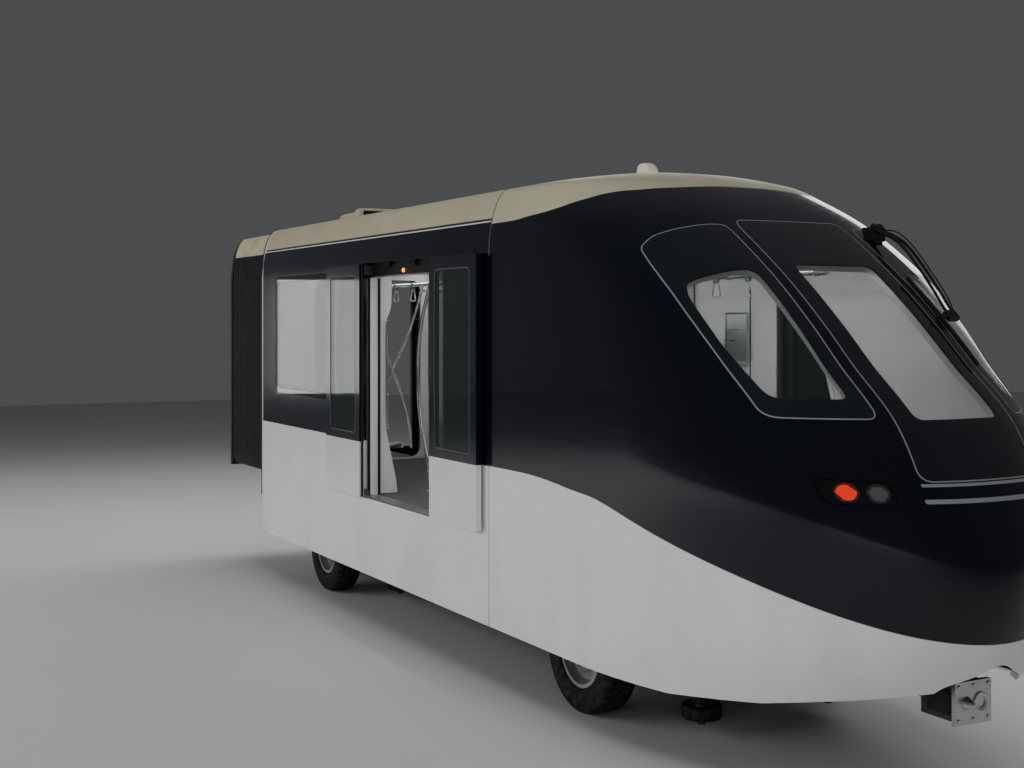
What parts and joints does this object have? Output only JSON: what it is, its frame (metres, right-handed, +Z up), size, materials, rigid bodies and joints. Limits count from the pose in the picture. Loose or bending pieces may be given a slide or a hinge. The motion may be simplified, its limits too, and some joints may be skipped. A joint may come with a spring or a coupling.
{
  "type": "end car of a guided people mover train",
  "caption": "Hollow end car of a rubber-tyred guided train with a raked nose, glazed sides, open plug doors, a bellows gangway and steered guided axles.",
  "frame": {"origin": "on the running surface, on the car's centreline, halfway along its length", "axes": "+X towards the nose, +Y towards the car's left side, +Z up"},
  "size_m": [10.1704, 2.466, 3.807],
  "materials": {
    "body_paint": "gloss",
    "white_paint": "gloss",
    "glazing": "gloss",
    "lamp_lens": "gloss",
    "tyre_rubber": "matte",
    "guide_tyre": "matte",
    "bellows": "matte",
    "wiper_black": "matte",
    "bright_metal": "satin",
    "dark_steel": "satin",
    "lining": "matte",
    "seat_shell": "satin",
    "deck": "matte"
  },
  "bodies": {
    "car": {"air_conditioner": "white_paint", "antenna": "white_paint", "bench_left": "seat_shell", "bench_right": "seat_shell", "cab_mask": "body_paint", "cab_roof": "white_paint", "console": "lining", "corner_window_left": "glazing", "corner_window_right": "glazing", "door_frame_left": "lining", "door_frame_right": "lining", "door_glass_left_front": "glazing", "door_glass_left_rear": "glazing", "door_glass_right_front": "glazing", "door_glass_right_rear": "glazing", "door_leaf_left_front": "body_paint", "door_leaf_left_rear": "body_paint", "door_leaf_right_front": "body_paint", "door_leaf_right_rear": "body_paint", "equipment_box": "dark_steel", "front_coupler": "dark_steel", "gangway_bellows": "bellows", "gangway_end_frame": "dark_steel", "gangway_floor": "bright_metal", "grab_rail_left": "bright_metal", "grab_rail_right": "bright_metal", "lamp_cluster_left": "lamp_lens", "lamp_cluster_right": "lamp_lens", "nose_skirt": "white_paint", "rear_drawbar": "dark_steel", "rear_end_wall": "body_paint", "rear_side_window_left": "glazing", "rear_side_window_right": "glazing", "roof": "white_paint", "side_wall_left": "body_paint", "side_wall_right": "body_paint", "underframe": "deck", "windscreen": "glazing", "wiper": "wiper_black"},
    "front_bogie": {"front_bogie_frame": "dark_steel", "front_drive_axle": "dark_steel"},
    "front_wheel_left": {"front_tyre_left": "tyre_rubber", "front_rim_left": "bright_metal"},
    "front_guide_front_left": {"front_guide_wheel_front_left": "guide_tyre"},
    "front_guide_rear_left": {"front_guide_wheel_rear_left": "guide_tyre"},
    "front_wheel_right": {"front_tyre_right": "tyre_rubber", "front_rim_right": "bright_metal"},
    "front_guide_front_right": {"front_guide_wheel_front_right": "guide_tyre"},
    "front_guide_rear_right": {"front_guide_wheel_rear_right": "guide_tyre"},
    "rear_bogie": {"rear_bogie_frame": "dark_steel", "rear_drive_axle": "dark_steel"},
    "rear_wheel_left": {"rear_tyre_left": "tyre_rubber", "rear_rim_left": "bright_metal"},
    "rear_guide_front_left": {"rear_guide_wheel_front_left": "guide_tyre"},
    "rear_guide_rear_left": {"rear_guide_wheel_rear_left": "guide_tyre"},
    "rear_wheel_right": {"rear_tyre_right": "tyre_rubber", "rear_rim_right": "bright_metal"},
    "rear_guide_front_right": {"rear_guide_wheel_front_right": "guide_tyre"},
    "rear_guide_rear_right": {"rear_guide_wheel_rear_right": "guide_tyre"}
  },
  "joints": [
    {"name": "front_bogie_steer", "type": "hinge", "parent": "car", "child": "front_bogie", "pos_m": [2.3, 0, 0.9], "axis": [0, 0, 1], "range_deg": [-8, 8]},
    {"name": "front_wheel_left_spin", "type": "hinge", "parent": "front_bogie", "child": "front_wheel_left", "pos_m": [2.3, 0.88, 0.425], "axis": [0, 1, 0], "continuous": true},
    {"name": "front_wheel_right_spin", "type": "hinge", "parent": "front_bogie", "child": "front_wheel_right", "pos_m": [2.3, -0.88, 0.425], "axis": [0, 1, 0], "continuous": true},
    {"name": "front_guide_front_left_spin", "type": "hinge", "parent": "front_bogie", "child": "front_guide_front_left", "pos_m": [3.05, 0.52, 0.145], "axis": [0, 0, 1], "continuous": true},
    {"name": "front_guide_rear_left_spin", "type": "hinge", "parent": "front_bogie", "child": "front_guide_rear_left", "pos_m": [1.55, 0.52, 0.145], "axis": [0, 0, 1], "continuous": true},
    {"name": "front_guide_front_right_spin", "type": "hinge", "parent": "front_bogie", "child": "front_guide_front_right", "pos_m": [3.05, -0.52, 0.145], "axis": [0, 0, 1], "continuous": true},
    {"name": "front_guide_rear_right_spin", "type": "hinge", "parent": "front_bogie", "child": "front_guide_rear_right", "pos_m": [1.55, -0.52, 0.145], "axis": [0, 0, 1], "continuous": true},
    {"name": "rear_bogie_steer", "type": "hinge", "parent": "car", "child": "rear_bogie", "pos_m": [-2.5, 0, 0.9], "axis": [0, 0, 1], "range_deg": [-8, 8]},
    {"name": "rear_wheel_left_spin", "type": "hinge", "parent": "rear_bogie", "child": "rear_wheel_left", "pos_m": [-2.5, 0.88, 0.425], "axis": [0, 1, 0], "continuous": true},
    {"name": "rear_wheel_right_spin", "type": "hinge", "parent": "rear_bogie", "child": "rear_wheel_right", "pos_m": [-2.5, -0.88, 0.425], "axis": [0, 1, 0], "continuous": true},
    {"name": "rear_guide_front_left_spin", "type": "hinge", "parent": "rear_bogie", "child": "rear_guide_front_left", "pos_m": [-1.75, 0.52, 0.145], "axis": [0, 0, 1], "continuous": true},
    {"name": "rear_guide_rear_left_spin", "type": "hinge", "parent": "rear_bogie", "child": "rear_guide_rear_left", "pos_m": [-3.25, 0.52, 0.145], "axis": [0, 0, 1], "continuous": true},
    {"name": "rear_guide_front_right_spin", "type": "hinge", "parent": "rear_bogie", "child": "rear_guide_front_right", "pos_m": [-1.75, -0.52, 0.145], "axis": [0, 0, 1], "continuous": true},
    {"name": "rear_guide_rear_right_spin", "type": "hinge", "parent": "rear_bogie", "child": "rear_guide_rear_right", "pos_m": [-3.25, -0.52, 0.145], "axis": [0, 0, 1], "continuous": true}
  ]
}
